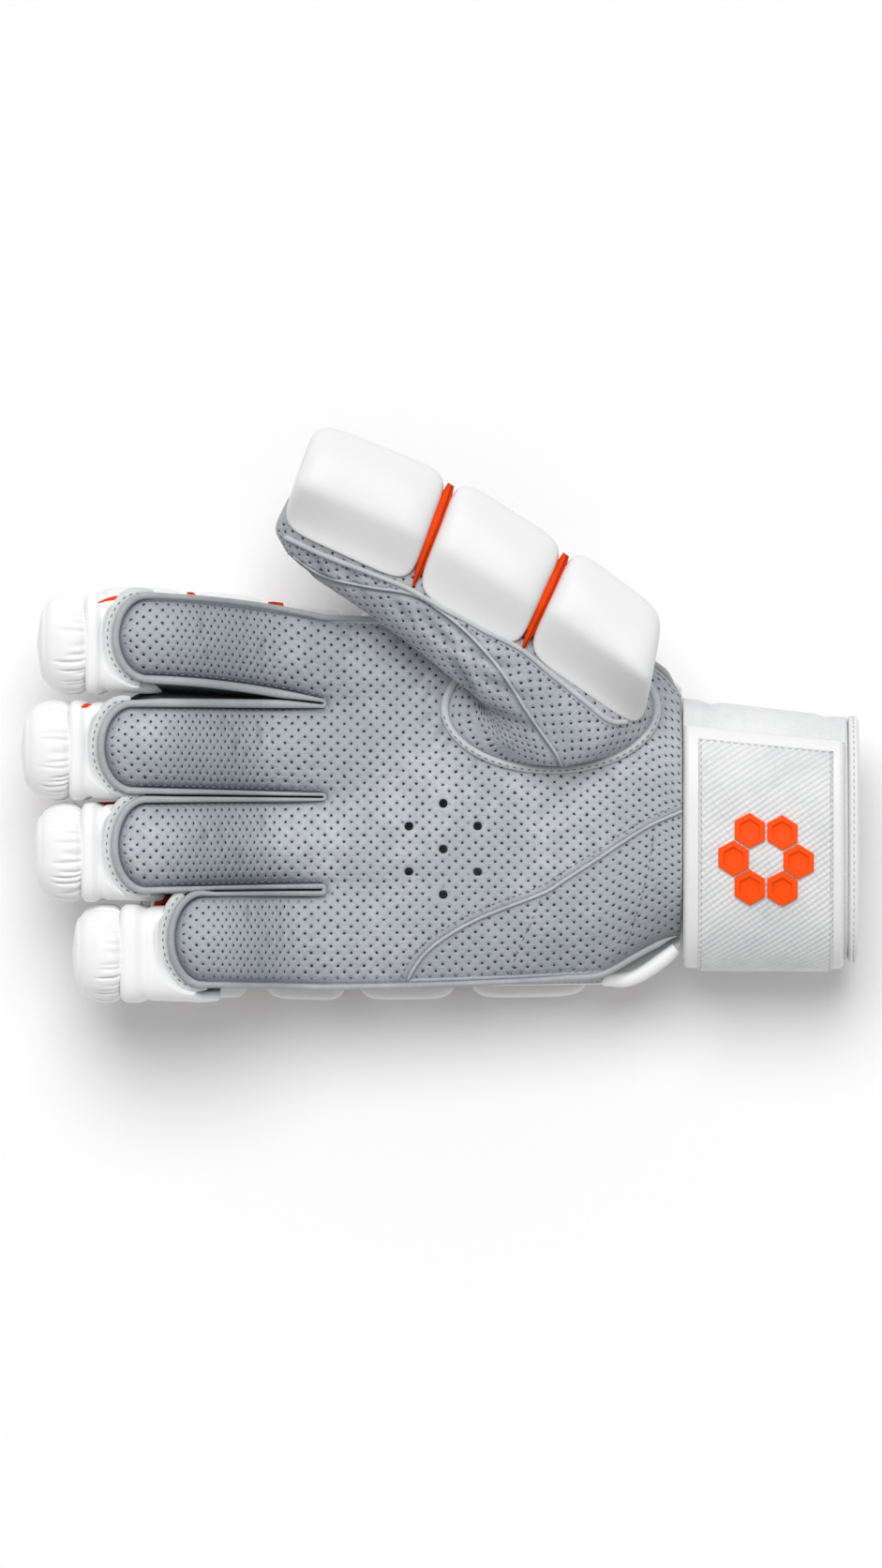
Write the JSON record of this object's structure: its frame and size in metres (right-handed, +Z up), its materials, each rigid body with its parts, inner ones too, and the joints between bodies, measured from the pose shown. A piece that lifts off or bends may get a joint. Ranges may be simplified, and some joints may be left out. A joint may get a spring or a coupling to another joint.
{
  "type": "batting glove",
  "caption": "Right-hand cricket batting glove lying palm up: perforated leather palm, padded blocks on the back and thumb, gathered fingertip caps and an elastic cuff with a strap.",
  "frame": {"origin": "on the surface that the glove rests on, under the middle of the glove", "axes": "+X from the fingertips towards the cuff, +Y towards the thumb, +Z up, the way the palm faces"},
  "size_m": [0.2684, 0.1831, 0.0828],
  "materials": {
    "palm_leather": "soft perforated matt grey leather",
    "white_leather": "soft white coated leather with a low sheen",
    "pad_leather": "smooth white coated leather over foam",
    "gusset_cloth": "bright orange coated cloth",
    "cuff_elastic": "white elastic webbing",
    "strap_leather": "smooth white coated leather",
    "strap_patch": "white coated leather with a fine diagonal emboss",
    "badge_rubber": "orange moulded rubber"
  },
  "bodies": {
    "root": {"palm_panel": "palm_leather", "heel_panel": "palm_leather", "back_panel": "white_leather", "little_sidewall": "palm_leather", "ring_sidewall": "palm_leather", "middle_sidewall": "palm_leather", "index_sidewall": "palm_leather", "little_gusset": "gusset_cloth", "little_pad_1": "pad_leather", "little_pad_2": "pad_leather", "little_pad_3": "pad_leather", "little_knuckle_pad": "pad_leather", "little_hand_pad": "pad_leather", "ring_gusset": "gusset_cloth", "ring_pad_1": "pad_leather", "ring_pad_2": "pad_leather", "ring_pad_3": "pad_leather", "ring_knuckle_pad": "pad_leather", "ring_hand_pad": "pad_leather", "middle_gusset": "gusset_cloth", "middle_pad_1": "pad_leather", "middle_pad_2": "pad_leather", "middle_pad_3": "pad_leather", "middle_knuckle_pad": "pad_leather", "middle_hand_pad": "pad_leather", "index_gusset": "gusset_cloth", "index_pad_1": "pad_leather", "index_pad_2": "pad_leather", "index_pad_3": "pad_leather", "index_knuckle_pad": "pad_leather", "index_hand_pad": "pad_leather", "little_cap": "white_leather", "little_collar": "white_leather", "ring_cap": "white_leather", "ring_collar": "white_leather", "middle_cap": "white_leather", "middle_collar": "white_leather", "index_cap": "white_leather", "index_collar": "white_leather", "thumb_sleeve": "palm_leather", "thumb_welt": "palm_leather", "thumb_pad_1": "pad_leather", "thumb_pad_2": "pad_leather", "thumb_pad_3": "pad_leather", "thumb_gusset_1": "gusset_cloth", "thumb_gusset_2": "gusset_cloth", "cuff": "cuff_elastic", "cuff_hem": "strap_leather", "strap": "strap_leather", "strap_patch": "strap_patch", "strap_badge": "badge_rubber", "vent_roll": "white_leather"}
  },
  "joints": []
}
